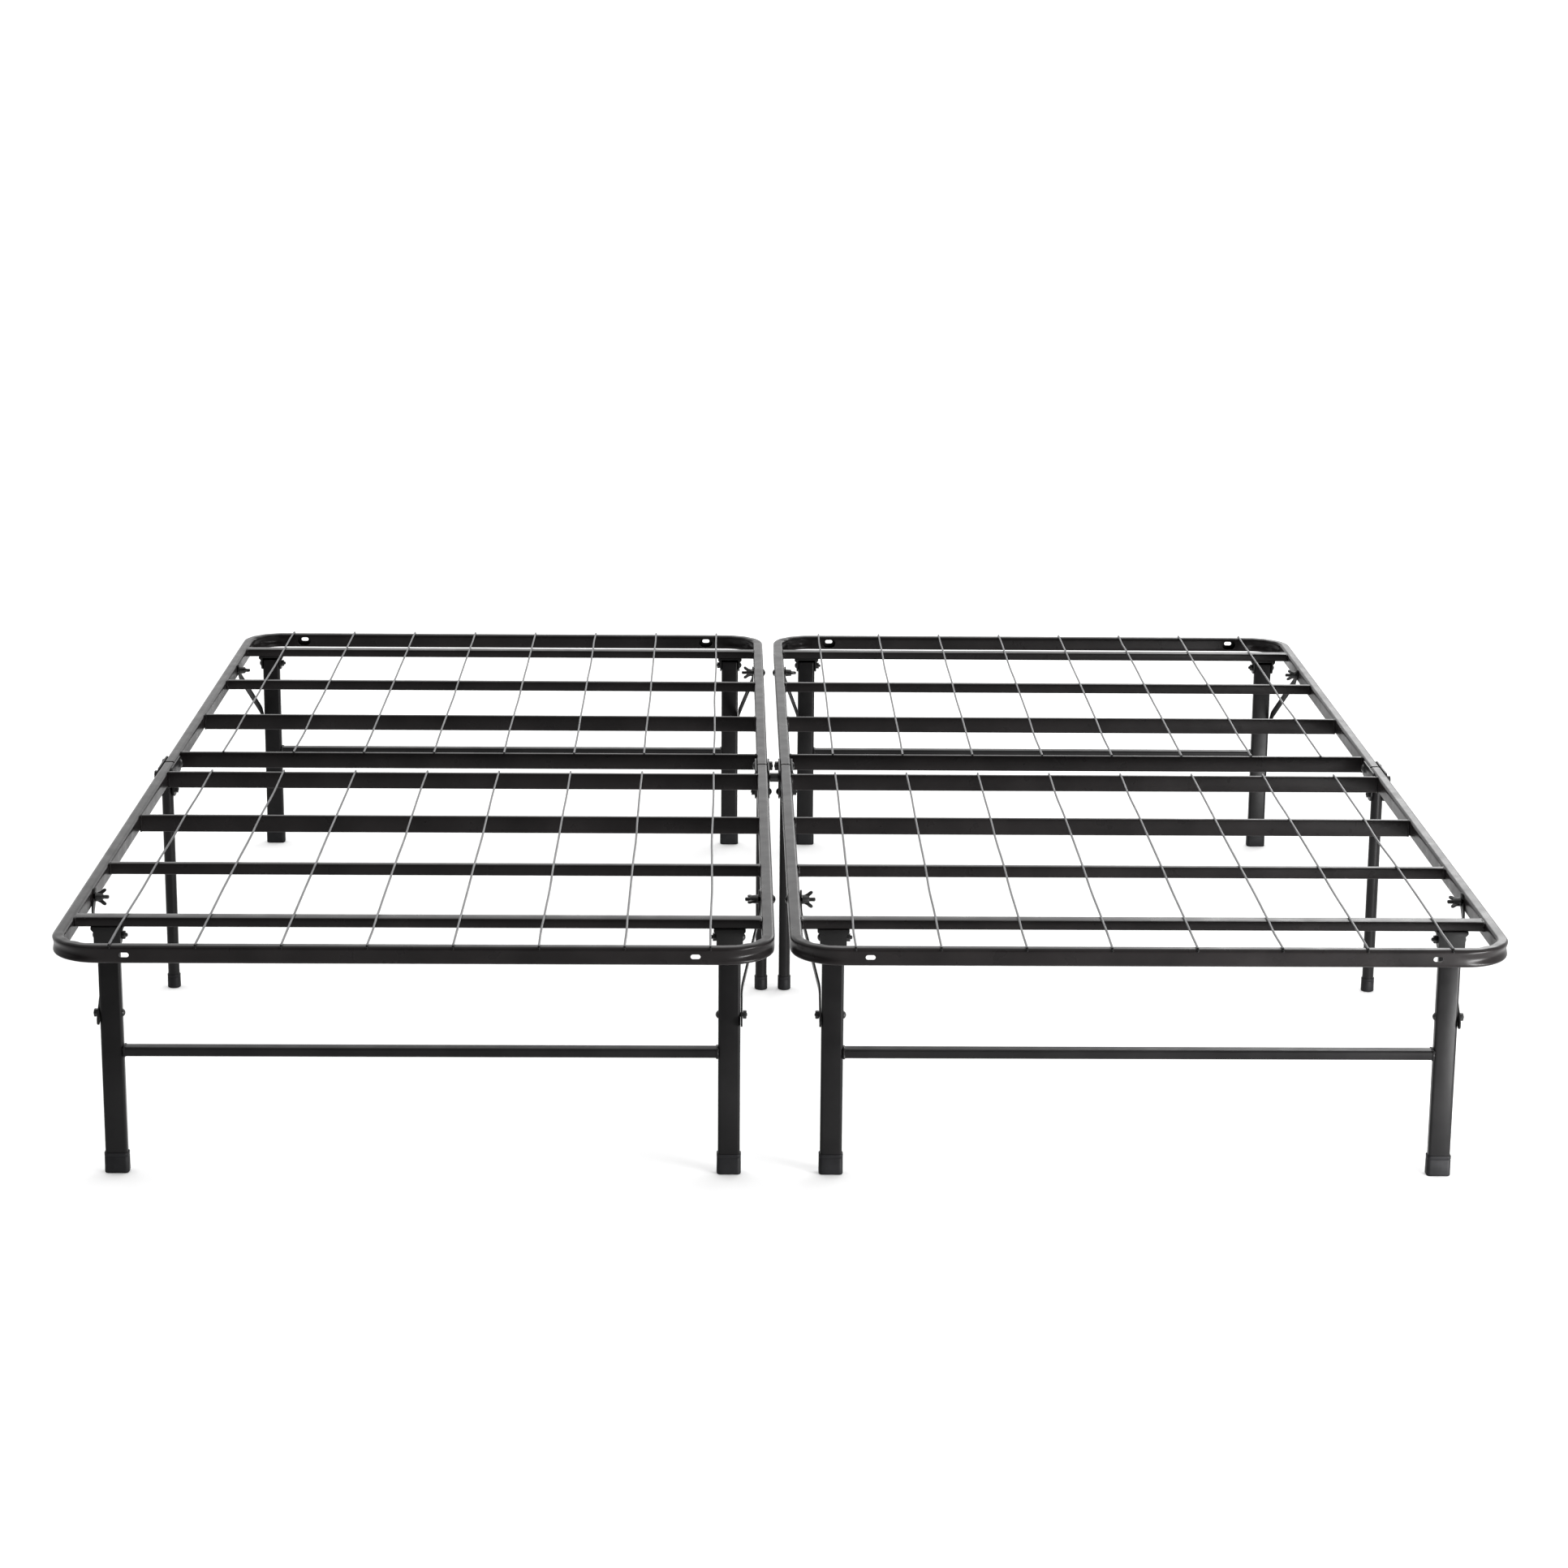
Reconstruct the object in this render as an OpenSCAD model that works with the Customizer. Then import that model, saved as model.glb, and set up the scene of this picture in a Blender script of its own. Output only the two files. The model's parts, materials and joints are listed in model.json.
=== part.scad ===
// Folding platform bed frame, king size: two bi-fold halves that stand side by side.
// Origin at the middle of the footprint on the floor, +X right, +Y to the head end, +Z up.
// A half is drawn about its own middle line, and its head section mirrors its foot section.
// Every section folds its legs flat, and the head sections fold up over the foot sections.

/* [Frame] */
// Length over the two end rails
bed_l = 2020; // [1960:5:2060]
// Width of one half over its side rails
half_w = 950; // [900:5:980]
// Space between the two halves
half_gap = 20; // [20:1:24]
// Height of the rail tops above the floor
bed_h = 362; // [355:1:460]

/* [Rails] */
// Width of the rail tube
rail_w = 17; // [16:1:22]
// Height of the rail tube
rail_h = 24; // [22:1:26]
// Radius of the rail tube's own edges
rail_edge_r = 4.5; // [3:0.5:6]
// Wall of the steel tubes
wall = 1.2; // [1:0.1:1.5]
// Outer radius of the bent frame corners
corner_r = 68; // [55:1:80]
// Distance of the headboard slots from the middle of the half
slot_x = 371; // [350:1:380]
// Length of a headboard slot
slot_l = 13; // [10:1:16]
// Width of a headboard slot
slot_w = 6.4; // [5:0.2:8]
// Length of the access hole in the inner wall behind a headboard slot
access_l = 24; // [18:1:30]
// Height of that access hole
access_w = 17; // [12:0.5:17]

/* [Slats and wires] */
// Distance of the first slat and of the legs from the end of the bed
leg_inset = 143; // [130:1:160]
// Spacing of the slats
slat_pitch = 267; // [260:1:270]
// Width of each slat, from the end of the bed to its middle
slat_w = [22, 12, 9, 9]; // [9:0.5:24]
// Height of each slat, from the end of the bed to its middle
slat_h = [13, 16, 25, 25]; // [12:0.5:26]
// Diameter of the mesh wires
wire_d = 3; // [2.5:0.5:4]
// Number of wires in a section
wire_count = 8; // [6:1:9]
// Spacing of the wires
wire_pitch = 111.5; // [90:0.5:115]

/* [Legs] */
// Distance of the leg posts from the middle of the half
leg_x = 415.5; // [405:0.5:416]
// Width of a leg post
leg_w = 30; // [28:1:32]
// Depth of a leg post
leg_d = 16; // [14:1:17]
// Radius of a leg post's edges
leg_edge_r = 4; // [2:0.5:5]
// Height of the crossbar's middle above the floor
crossbar_z = 173; // [120:1:200]
// Height of the crossbar tube
crossbar_h = 13; // [12:1:16]
// Depth of the crossbar tube
crossbar_d = 19; // [16:1:20]
// Height of a foot cap
cap_h = 29; // [20:1:35]
// Wall of a foot cap
cap_wall = 1.6; // [1.2:0.1:2]
// Thickness of a foot cap under the leg
cap_floor = 3; // [2:0.5:5]
// Diameter of the leg pivot bolts
leg_bolt_d = 6; // [5:1:7]

/* [Braces] */
// Distance of the brace's upper bolt from the end of the bed
brace_inset = 275; // [270:1:280]
// Height of the brace's lower bolt above the floor
brace_z = 226; // [220:1:230]
// Width of the brace strip
brace_w = 15; // [14:1:16]
// Thickness of bent sheet and strip
sheet_t = 2.5; // [2:0.1:2.6]
// Diameter of the brace bolts
brace_bolt_d = 6; // [5:1:6]

/* [Fold] */
// Gap between the ends of the foot and head rails
fold_gap = 6; // [5:0.5:8]
// Distance between the two fold bolts of a plate
fold_span = 76; // [76:1:84]
// Diameter of the fold bolts
fold_bolt_d = 8; // [6:1:8]
// Height of a fold plate
plate_h = 23; // [20:1:23]

/* [Middle legs] */
// Distance of the middle legs from the middle of the bed
mid_y = 26; // [24:1:30]
// Diameter of a middle leg
mid_d = 18; // [16:1:18]
// Diameter of a middle leg's cap
mid_cap_d = 20.6; // [20:0.1:21]
// Height of a middle leg's cap
mid_cap_h = 22; // [18:1:26]

/* [Hidden] */
$fn = 48;
HEX = 6;
half_x = (half_w + half_gap) / 2;
rail_x = (half_w - rail_w) / 2;
rail_in = half_w / 2 - rail_w;
rail_mid_z = bed_h - rail_h / 2;
end_y = bed_l / 2;
leg_y = end_y - leg_inset;
brace_y = end_y - brace_inset;
fold_y = fold_span / 2;
wire_bend = 55;
// Clearance between pieces that move past each other, and added to a running bore
gap = 0.3;
run = 0.1;
// Overshoot of a cutting solid, and its depth across one tube wall
cut = 1;
wall_cut = 2 * (wall + cut);
slat_edge_r = 2;
crossbar_edge_r = 3;
// Depth of a pivot below what its bracket hangs from
pivot_drop = 14;
// Leg pivot: height, leg above it, and the bracket around it
pivot_z = bed_h - slat_h[0] - pivot_drop;
leg_over = 7;
ear_x = leg_w / 2 + gap;
bracket_front = 13.4;
bracket_back = 11;
bracket_drop = 11;
flange_x = 21.5;
// Middle leg pivot
mid_pivot_z = bed_h - rail_h - pivot_drop;
mid_over = 5;
mid_ear_x = mid_d / 2 + gap;
mid_bracket_r = 11;
mid_stop_y = 10.7;
mid_tip = 1;
mid_cap_floor = 2;
// Brace in its own plane: run, rise, length between bolts, and lean from upright
brace_run = leg_y - brace_y;
brace_rise = rail_mid_z - brace_z;
brace_l = sqrt(brace_run * brace_run + brace_rise * brace_rise);
brace_lean = atan2(brace_run, brace_rise);
brace_x0 = leg_x + leg_w / 2 + gap;
brace_x1 = rail_in - gap - sheet_t;
brace_tail = 18;
brace_head = 14;
brace_flat = 40;
brace_flat_top = 24;
notch_w = brace_bolt_d + 1;
// While the leg folds through 90 degrees the brace turns on to lie along the leg. It turns
// against the leg by this share, which sets the way its end leaves the rail bolt.
brace_share = (180 - brace_lean) / 90;
notch_y = -(pivot_z - brace_z) - (brace_share - 1) * brace_rise;
notch_z = (brace_share - 1) * brace_run;
notch_turn = 180 + brace_lean - atan2(notch_z, -notch_y);
// Fasteners: across flats, nut and head heights
nut_af = 10;
nut_h = 5;
head_d = 11;
head_h = 3.6;
tip = 3;
brace_tip = 1;
fold_af = 13;
fold_nut_h = 5.5;
fold_head_d = 14;
fold_head_h = 4;
fold_tip = 0.8;
carriage_head_d = 13;
carriage_tip = 21.5;

BLACK = [0.1, 0.1, 0.11];
STEEL = [0.62, 0.63, 0.65];
RUBBER = [0.06, 0.06, 0.065];
FOOT = 1;
HEAD = -1;
LEFT = -1;
RIGHT = 1;
BOTH = [-1, 1];

// ---------------------------------------------------------------- placing

// Moves a half's piece to the left or right half.
module in_half(side) {
  translate([side * half_x, 0, 0]) children();
}

// Draws a foot-section piece in the foot section, or mirrored in the head section.
module in_section(end, side) {
  in_half(side) mirror([0, end == HEAD ? 1 : 0, 0]) children();
}

// Draws a piece in both foot sections.
module in_foot() {
  for (side = BOTH) in_section(FOOT, side) children();
}

// Draws a piece made for the +X side of a half there, or mirrored on its -X side.
module on_side(s) {
  mirror([s < 0 ? 1 : 0, 0, 0]) children();
}

// Turns a piece drawn along +Z so that it runs along +X.
module along_x() {
  rotate([0, 90, 0]) children();
}

// ---------------------------------------------------------------- outlines

module round_rect(w, h, r) {
  square([w - 2 * r, h], center = true);
  square([w, h - 2 * r], center = true);
  for (x = BOTH, y = BOTH) translate([x * (w / 2 - r), y * (h / 2 - r)]) circle(r);
}

module tube_outline(w, h, r) {
  difference() {
    round_rect(w, h, r);
    round_rect(w - 2 * wall, h - 2 * wall, r - wall);
  }
}

// Strip with round ends, from y = a to y = b.
module strip_outline(a, b, w) {
  translate([-w / 2, a + w / 2]) square([w, b - a - w]);
  for (y = [a + w / 2, b - w / 2]) translate([0, y]) circle(w / 2);
}

// ---------------------------------------------------------------- fasteners

// Bolt along +X from x = 0, its head below 0, its point past the grip.
module bolt(d, grip, head, head_t, past) {
  along_x() union() {
    translate([0, 0, -head_t]) dome(head, head_t);
    cylinder(d = d, h = grip + past - d / 4);
    translate([0, 0, grip + past - d / 4]) cylinder(d1 = d, d2 = d / 2, h = d / 4);
  }
}

// Low round head, flat side up at z = h.
module dome(d, h) {
  r = (d * d / 4 + h * h) / (2 * h);
  intersection() {
    translate([0, 0, r]) sphere(r, $fn = 96);
    cylinder(d = d, h = h);
  }
}

// Hexagonal nut along +X from x = 0.
module hex_nut(af, d, h) {
  along_x() difference() {
    cylinder(d = af / cos(30), h = h, $fn = HEX);
    translate([0, 0, -cut]) cylinder(d = d + run, h = h + 2 * cut);
  }
}

// ---------------------------------------------------------------- section pieces

// Bent tube: two side rails, two corners and the end rail.
module rail_run() {
  straight_y = end_y - corner_r - fold_gap / 2;
  bend_r = corner_r - rail_w / 2;
  for (s = BOTH) {
    translate([s * rail_x, -fold_gap / 2, 0]) rotate([90, 0, 0])
      linear_extrude(straight_y) tube_outline(rail_w, rail_h, rail_edge_r);
    translate([s * (rail_x - bend_r), corner_r - end_y, 0]) rotate([0, 0, s > 0 ? 270 : 180])
      rotate_extrude(angle = 90, $fn = 96) translate([bend_r, 0])
        tube_outline(rail_w, rail_h, rail_edge_r);
  }
  translate([0, rail_w / 2 - end_y, 0]) rotate([90, 0, 90])
    linear_extrude(2 * (rail_x - bend_r), center = true)
      tube_outline(rail_w, rail_h, rail_edge_r);
}

// Oblong hole along Y through one wall of the end rail.
module oblong_hole(l, w) {
  rotate([90, 0, 0]) linear_extrude(wall_cut, center = true) {
    square([l - w, w], center = true);
    for (s = BOTH) translate([s * (l - w) / 2, 0]) circle(d = w);
  }
}

// Round hole along X through one side rail.
module side_bore(s, y, d) {
  translate([s * rail_x - rail_w, y, 0]) along_x() cylinder(d = d, h = 2 * rail_w);
}

module rail(fold_d) {
  color(BLACK) translate([0, 0, rail_mid_z]) difference() {
    rail_run();
    for (s = BOTH) {
      translate([s * slot_x, -end_y, 0]) oblong_hole(slot_l, slot_w);
      translate([s * slot_x, rail_w - end_y, 0]) oblong_hole(access_l, access_w);
      side_bore(s, -brace_y, brace_bolt_d);
      side_bore(s, -fold_y, fold_d);
    }
  }
}

module slats() {
  color(BLACK) for (i = [0 : len(slat_w) - 1])
    translate([0, i * slat_pitch - leg_y, bed_h - slat_h[i] / 2]) rotate([90, 0, 90])
      linear_extrude(2 * rail_in, center = true)
        tube_outline(slat_w[i], slat_h[i], slat_edge_r);
}

// Wire over the slats, its end turned down over the rail's rounded edge.
module wire() {
  slat_y = (len(slat_w) - 1) * slat_pitch - leg_y + slat_w[3] / 2;
  bend_y = rail_edge_r - end_y;
  translate([0, slat_y, bed_h + wire_d / 2]) rotate([90, 0, 0])
    cylinder(d = wire_d, h = slat_y - bend_y, $fn = 24);
  translate([0, bend_y, bed_h - rail_edge_r]) rotate([180, -90, 0])
    rotate_extrude(angle = wire_bend, $fn = 48) translate([rail_edge_r + wire_d / 2, 0])
      circle(d = wire_d, $fn = 24);
}

module wires() {
  color(STEEL) for (i = [0 : wire_count - 1])
    translate([(i - (wire_count - 1) / 2) * wire_pitch, 0, 0]) wire();
}

// Funnel-shaped bracket: front stop plate, two ears and a top plate under the slat.
module leg_bracket() {
  top_z = bed_h - slat_h[0] - pivot_z;
  flange_z = top_z - sheet_t - 1;
  flare_z = head_d / 2 + 1;
  outer_x = ear_x + sheet_t;
  difference() {
    intersection() {
      translate([0, bracket_back, 0]) rotate([90, 0, 0])
        linear_extrude(bracket_front + bracket_back)
          polygon([[-flange_x, top_z], [-flange_x, flange_z], [-outer_x, flare_z],
                   [-outer_x, -bracket_drop], [outer_x, -bracket_drop], [outer_x, flare_z],
                   [flange_x, flange_z], [flange_x, top_z]]);
      rotate([90, 0, 90]) linear_extrude(2 * flange_x, center = true) {
        circle(bracket_back);
        translate([-bracket_front, 0]) square([bracket_front + bracket_back, top_z]);
        translate([-bracket_front, -bracket_drop]) square([bracket_front, bracket_drop]);
      }
    }
    translate([-ear_x, sheet_t - bracket_front, -bracket_drop - cut])
      cube([2 * ear_x, 2 * bracket_front, bracket_drop + cut + top_z - sheet_t]);
    translate([-flange_x - cut, 0, 0]) along_x()
      cylinder(d = leg_bolt_d, h = 2 * (flange_x + cut));
  }
}

module leg_brackets() {
  color(BLACK) for (s = BOTH) translate([s * leg_x, -leg_y, pivot_z]) leg_bracket();
}

module leg_bolts() {
  grip = 2 * (ear_x + sheet_t);
  color(BLACK) for (s = BOTH) on_side(s) translate([leg_x - grip / 2, -leg_y, pivot_z])
    mirror([1, 0, 0]) translate([-grip, 0, 0]) {
      bolt(leg_bolt_d, grip, head_d, head_h, nut_h + tip);
      translate([grip, 0, 0]) hex_nut(nut_af, leg_bolt_d, nut_h);
    }
}

// Carriage bolts, heads outside the side rails and points inside the frame.
module carriage_bolts() {
  color(BLACK) for (s = BOTH) on_side(s) translate([half_w / 2, -brace_y, rail_mid_z])
    mirror([1, 0, 0]) bolt(brace_bolt_d, rail_w, carriage_head_d, head_h, carriage_tip);
}

// Wing nut on the carriage bolt of side s, with its wings turned from upright.
module wing_nut(s, turn) {
  hub_d = 13;
  hub_top_d = 10.5;
  hub_h = 10;
  wing_t = 3.2;
  color(BLACK) on_side(s) translate([brace_x1 - gap, -brace_y, rail_mid_z])
    rotate([0, -90, 0]) rotate([0, 0, turn]) difference() {
      union() {
        cylinder(d1 = hub_d, d2 = hub_top_d, h = hub_h);
        rotate([90, 0, 0]) linear_extrude(wing_t, center = true) for (m = [0, 1])
          mirror([m, 0]) polygon([[3.6, 1.5], [6, 1.5], [7.4, 6], [11.8, 11], [11.6, 14.4],
                                  [8.8, 15.2], [5, 11], [3.6, 8]]);
      }
      translate([0, 0, -cut]) cylinder(d = brace_bolt_d + run, h = hub_h + 2 * cut);
    }
}

// ---------------------------------------------------------------- leg frames

module post() {
  translate([0, 0, cap_floor]) linear_extrude(pivot_z + leg_over - cap_floor)
    tube_outline(leg_w, leg_d, leg_edge_r);
}

// Two posts and the welded crossbar.
module leg_frame() {
  color(BLACK) translate([0, -leg_y, 0]) {
    for (s = BOTH) translate([s * leg_x, 0, 0]) difference() {
      post();
      translate([-leg_w, 0, pivot_z]) along_x()
        cylinder(d = leg_bolt_d + run, h = 2 * leg_w);
      translate([-leg_w, 0, brace_z]) along_x() cylinder(d = brace_bolt_d, h = 2 * leg_w);
    }
    translate([0, 0, crossbar_z]) rotate([90, 0, 90])
      linear_extrude(2 * leg_x - leg_w, center = true)
        tube_outline(crossbar_d, crossbar_h, crossbar_edge_r);
  }
}

module foot_cap() {
  difference() {
    linear_extrude(cap_h)
      round_rect(leg_w + 2 * cap_wall, leg_d + 2 * cap_wall, leg_edge_r + cap_wall);
    translate([0, 0, cap_floor]) linear_extrude(cap_h) round_rect(leg_w, leg_d, leg_edge_r);
  }
}

module caps() {
  color(RUBBER) for (s = BOTH) translate([s * leg_x, -leg_y, 0]) foot_cap();
}

// Lower brace bolts, heads on the inner faces of the posts and nuts on the braces.
module brace_bolts() {
  grip = leg_w + sheet_t + 2 * gap;
  color(BLACK) for (s = BOTH) on_side(s)
    translate([leg_x - leg_w / 2, -leg_y, brace_z]) {
      bolt(brace_bolt_d, grip, head_d, head_h, nut_h + brace_tip);
      translate([grip, 0, 0]) hex_nut(nut_af, brace_bolt_d, nut_h);
    }
}

// Cranked strip. Its edge view is a bent band, and its face view a strip with a bolt
// hole at the bottom and an open notch at the top.
module brace() {
  t = sheet_t;
  x1 = brace_x1 - brace_x0;
  low = -brace_tail;
  a = brace_flat;
  b = brace_l - brace_flat_top;
  high = brace_l + brace_head;
  difference() {
    intersection() {
      rotate([90, 0, 0]) linear_extrude(brace_w, center = true)
        polygon([[0, low], [t, low], [t, a], [x1 + t, b], [x1 + t, high],
                 [x1, high], [x1, b], [0, a]]);
      rotate([90, 0, 90]) linear_extrude(x1 + t) strip_outline(low, high, brace_w);
    }
    translate([-cut, 0, 0]) along_x() cylinder(d = brace_bolt_d + run, h = t + 2 * cut);
    translate([x1 - cut, 0, brace_l]) {
      along_x() cylinder(d = notch_w, h = t + 2 * cut);
      rotate([notch_turn, 0, 0]) translate([0, 0, -notch_w / 2])
        cube([t + 2 * cut, 2 * brace_w, notch_w]);
    }
  }
}

module braces() {
  color(BLACK) for (s = BOTH) on_side(s)
    translate([brace_x0, -leg_y, brace_z]) rotate([-brace_lean, 0, 0]) brace();
}

// ---------------------------------------------------------------- fold

module fold_plate() {
  rotate([90, 0, 90]) linear_extrude(sheet_t) difference() {
    rotate([0, 0, -90]) strip_outline(-fold_y - plate_h / 2, fold_y + plate_h / 2, plate_h);
    translate([-fold_y, 0]) circle(d = fold_bolt_d + run);
    translate([fold_y, 0]) circle(d = fold_bolt_d);
  }
}

// Inner and outer plates on both side rails of a half.
module fold_plates() {
  color(BLACK) for (s = BOTH, x = [half_w / 2 + gap, rail_in - gap - sheet_t])
    on_side(s) translate([x, 0, rail_mid_z]) fold_plate();
}

// Head-side fold bolts of a half, clamped to the plates: heads inside the frame.
module head_fold_bolts() {
  x0 = rail_in - gap - sheet_t;
  grip = rail_w + 2 * (gap + sheet_t);
  color(BLACK) for (s = BOTH) on_side(s) translate([x0, fold_y, rail_mid_z]) {
    bolt(fold_bolt_d, grip, fold_head_d, fold_head_h, fold_nut_h + fold_tip);
    translate([grip, 0, 0]) hex_nut(fold_af, fold_bolt_d, fold_nut_h);
  }
}

// Foot-side fold bolts: nuts on the outer sides, ends in the coupling sleeve between halves.
module foot_fold_bolts() {
  x0 = rail_in - 2 * gap - sheet_t;
  grip = rail_w + 4 * gap + 2 * sheet_t;
  color(BLACK) for (side = BOTH) in_half(side) {
    on_side(side) translate([x0, -fold_y, rail_mid_z]) {
      bolt(fold_bolt_d, grip, fold_head_d, fold_head_h, fold_nut_h + fold_tip);
      translate([grip, 0, 0]) hex_nut(fold_af, fold_bolt_d, fold_nut_h);
    }
    on_side(-side) translate([x0, -fold_y, rail_mid_z])
      bolt(fold_bolt_d, grip, fold_head_d, fold_head_h, half_x - x0 - grip - gap);
  }
}

module coupling_sleeve() {
  reach = half_gap / 2 - 2 * gap - sheet_t;
  color(BLACK) translate([-reach, -fold_y, rail_mid_z])
    hex_nut(fold_af, fold_bolt_d, 2 * reach);
}

// ---------------------------------------------------------------- middle legs

// Clevis under a side rail, with a stop plate on the head side, and its pivot bolt.
module mid_leg_hinge() {
  outer_x = mid_ear_x + sheet_t;
  top_z = bed_h - rail_h - mid_pivot_z;
  stop_y = mid_stop_y + sheet_t;
  difference() {
    intersection() {
      translate([-outer_x, -mid_bracket_r, -mid_bracket_r])
        cube([2 * outer_x, mid_bracket_r + stop_y, mid_bracket_r + top_z]);
      rotate([90, 0, 90]) linear_extrude(2 * outer_x, center = true) {
        circle(mid_bracket_r);
        translate([-mid_bracket_r, 0]) square([mid_bracket_r + stop_y, top_z]);
        translate([0, -mid_bracket_r]) square([stop_y, mid_bracket_r]);
      }
    }
    translate([-mid_ear_x, mid_stop_y - 3 * mid_bracket_r, -mid_bracket_r - cut])
      cube([2 * mid_ear_x, 3 * mid_bracket_r, mid_bracket_r + cut + top_z - sheet_t]);
    translate([-outer_x - cut, 0, 0]) along_x()
      cylinder(d = leg_bolt_d, h = 2 * (outer_x + cut));
  }
  translate([-outer_x, 0, 0]) {
    bolt(leg_bolt_d, 2 * outer_x, head_d, head_h, nut_h + mid_tip);
    translate([2 * outer_x, 0, 0]) hex_nut(nut_af, leg_bolt_d, nut_h);
  }
}

// Puts a piece at one of the four middle legs, +X towards the inside of its half.
module at_mid_leg(side, s) {
  in_half(side) on_side(-s) translate([-rail_x, -mid_y, 0]) children();
}

module mid_leg_hinges() {
  color(BLACK) for (side = BOTH, s = BOTH)
    at_mid_leg(side, s) translate([0, 0, mid_pivot_z]) mid_leg_hinge();
}

module mid_leg(side, s) {
  leg_l = mid_pivot_z + mid_over - mid_cap_floor;
  color(BLACK) at_mid_leg(side, s) difference() {
    translate([0, 0, mid_cap_floor]) cylinder(d = mid_d, h = leg_l);
    translate([0, 0, mid_cap_floor - cut]) cylinder(d = mid_d - 2 * wall, h = leg_l + 2 * cut);
    translate([-mid_d, 0, mid_pivot_z]) along_x()
      cylinder(d = leg_bolt_d + run, h = 2 * mid_d);
  }
}

module mid_cap(side, s) {
  color(RUBBER) at_mid_leg(side, s) difference() {
    cylinder(d = mid_cap_d, h = mid_cap_h);
    translate([0, 0, mid_cap_floor]) cylinder(d = mid_d, h = mid_cap_h);
  }
}

in_section(FOOT, LEFT) rail(fold_bolt_d);  // foot_left_rail
in_section(FOOT, RIGHT) rail(fold_bolt_d);  // foot_right_rail
in_section(HEAD, LEFT) rail(fold_bolt_d + run);  // head_left_rail
in_section(HEAD, RIGHT) rail(fold_bolt_d + run);  // head_right_rail
in_section(FOOT, LEFT) slats();  // foot_left_slats
in_section(FOOT, RIGHT) slats();  // foot_right_slats
in_section(HEAD, LEFT) slats();  // head_left_slats
in_section(HEAD, RIGHT) slats();  // head_right_slats
in_section(FOOT, LEFT) wires();  // foot_left_wires
in_section(FOOT, RIGHT) wires();  // foot_right_wires
in_section(HEAD, LEFT) wires();  // head_left_wires
in_section(HEAD, RIGHT) wires();  // head_right_wires
in_foot() leg_brackets();  // foot_leg_brackets
in_section(HEAD, LEFT) leg_brackets();  // head_left_leg_brackets
in_section(HEAD, RIGHT) leg_brackets();  // head_right_leg_brackets
in_foot() leg_bolts();  // foot_leg_bolts
in_section(HEAD, LEFT) leg_bolts();  // head_left_leg_bolts
in_section(HEAD, RIGHT) leg_bolts();  // head_right_leg_bolts
in_foot() carriage_bolts();  // foot_carriage_bolts
in_section(HEAD, LEFT) carriage_bolts();  // head_left_carriage_bolts
in_section(HEAD, RIGHT) carriage_bolts();  // head_right_carriage_bolts
in_section(FOOT, LEFT) leg_frame();  // foot_left_leg_frame
in_section(FOOT, RIGHT) leg_frame();  // foot_right_leg_frame
in_section(HEAD, LEFT) leg_frame();  // head_left_leg_frame
in_section(HEAD, RIGHT) leg_frame();  // head_right_leg_frame
in_section(FOOT, LEFT) caps();  // foot_left_caps
in_section(FOOT, RIGHT) caps();  // foot_right_caps
in_section(HEAD, LEFT) caps();  // head_left_caps
in_section(HEAD, RIGHT) caps();  // head_right_caps
in_section(FOOT, LEFT) brace_bolts();  // foot_left_brace_bolts
in_section(FOOT, RIGHT) brace_bolts();  // foot_right_brace_bolts
in_section(HEAD, LEFT) brace_bolts();  // head_left_brace_bolts
in_section(HEAD, RIGHT) brace_bolts();  // head_right_brace_bolts
in_section(FOOT, LEFT) braces();  // foot_left_braces
in_section(FOOT, RIGHT) braces();  // foot_right_braces
in_section(HEAD, LEFT) braces();  // head_left_braces
in_section(HEAD, RIGHT) braces();  // head_right_braces
in_section(FOOT, LEFT) wing_nut(LEFT, 8);  // foot_left_wing_nut_outer
in_section(FOOT, LEFT) wing_nut(-LEFT, 80);  // foot_left_wing_nut_inner
in_section(FOOT, RIGHT) wing_nut(RIGHT, 65);  // foot_right_wing_nut_outer
in_section(FOOT, RIGHT) wing_nut(-RIGHT, 20);  // foot_right_wing_nut_inner
in_section(HEAD, LEFT) wing_nut(LEFT, 70);  // head_left_wing_nut_outer
in_section(HEAD, LEFT) wing_nut(-LEFT, 15);  // head_left_wing_nut_inner
in_section(HEAD, RIGHT) wing_nut(RIGHT, 30);  // head_right_wing_nut_outer
in_section(HEAD, RIGHT) wing_nut(-RIGHT, 85);  // head_right_wing_nut_inner
in_half(LEFT) fold_plates();  // left_fold_plates
in_half(RIGHT) fold_plates();  // right_fold_plates
in_half(LEFT) head_fold_bolts();  // left_fold_bolts
in_half(RIGHT) head_fold_bolts();  // right_fold_bolts
foot_fold_bolts();
coupling_sleeve();
mid_leg_hinges();
mid_leg(LEFT, LEFT);  // left_mid_leg_outer
mid_leg(LEFT, -LEFT);  // left_mid_leg_inner
mid_leg(RIGHT, RIGHT);  // right_mid_leg_outer
mid_leg(RIGHT, -RIGHT);  // right_mid_leg_inner
mid_cap(LEFT, LEFT);  // left_mid_cap_outer
mid_cap(LEFT, -LEFT);  // left_mid_cap_inner
mid_cap(RIGHT, RIGHT);  // right_mid_cap_outer
mid_cap(RIGHT, -RIGHT);  // right_mid_cap_inner
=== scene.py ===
import json
import math

import bmesh
import bpy
import numpy as np
from mathutils import Matrix, Vector


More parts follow.
